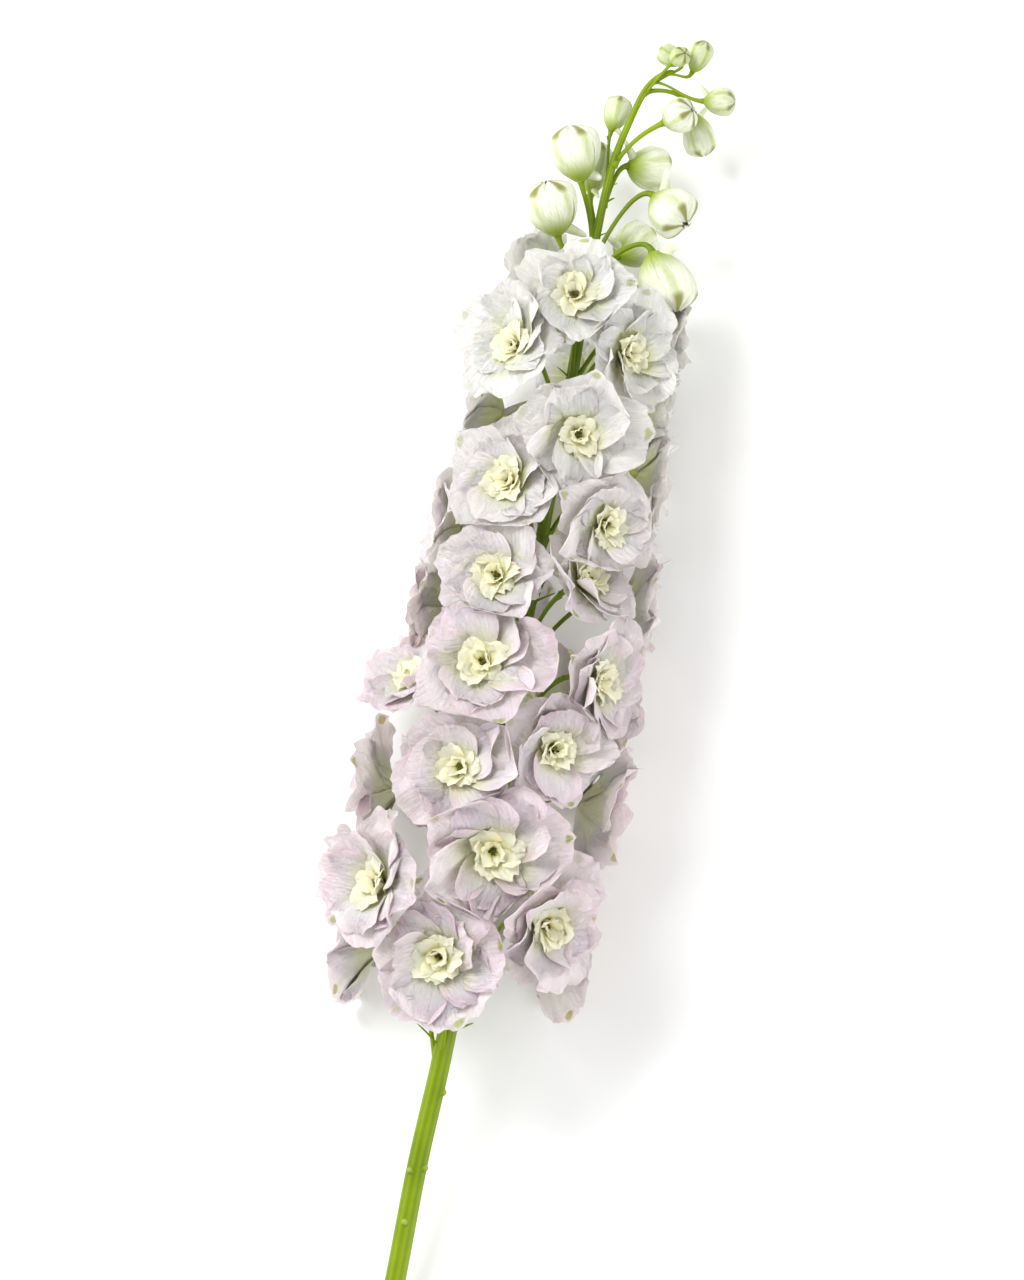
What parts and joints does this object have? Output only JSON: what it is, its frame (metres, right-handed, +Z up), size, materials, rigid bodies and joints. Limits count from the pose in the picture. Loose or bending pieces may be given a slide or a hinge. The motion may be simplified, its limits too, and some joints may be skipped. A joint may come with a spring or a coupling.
{
  "type": "delphinium flower spike",
  "caption": "Cut spike of pale delphinium laid on a surface: a green stem, ruffled open florets round it with pale eyes and spurs, and green-tipped buds up to a curved tip.",
  "frame": {"origin": "on the surface the spike lies on, under the middle of its bounding box", "axes": "+Y along the stem from its cut end to the budded tip, which bends to +X; +Z up from the surface, which is Z = 0; the camera of the picture looks down -Z"},
  "size_m": [0.1218, 0.6428, 0.1115],
  "materials": {
    "stem": "fresh green stalk, satin",
    "petal": "soft matte petal, pale lilac white",
    "bud": "soft matte bud, greenish white"
  },
  "bodies": {
    "root": {"stem": "stem", "floret_01": "petal", "floret_02": "petal", "floret_03": "petal", "floret_04": "petal", "floret_05": "petal", "floret_06": "petal", "floret_07": "petal", "floret_08": "petal", "floret_09": "petal", "floret_10": "petal", "floret_11": "petal", "floret_12": "petal", "floret_13": "petal", "floret_14": "petal", "floret_15": "petal", "floret_16": "petal", "floret_17": "petal", "floret_18": "petal", "floret_19": "petal", "floret_20": "petal", "floret_21": "petal", "floret_22": "petal", "floret_23": "petal", "floret_24": "petal", "floret_25": "petal", "floret_26": "petal", "floret_27": "petal", "floret_28": "petal", "floret_29": "petal", "floret_30": "petal", "floret_31": "petal", "floret_32": "petal", "floret_33": "petal", "floret_34": "petal", "floret_35": "petal", "floret_36": "petal", "floret_37": "petal", "bud_01": "bud", "bud_02": "bud", "bud_03": "bud", "bud_04": "bud", "bud_05": "bud", "bud_06": "bud", "bud_07": "bud", "bud_08": "bud", "bud_09": "bud", "bud_10": "bud", "bud_11": "bud", "bud_12": "bud", "bud_13": "bud", "bud_14": "bud"}
  },
  "joints": []
}
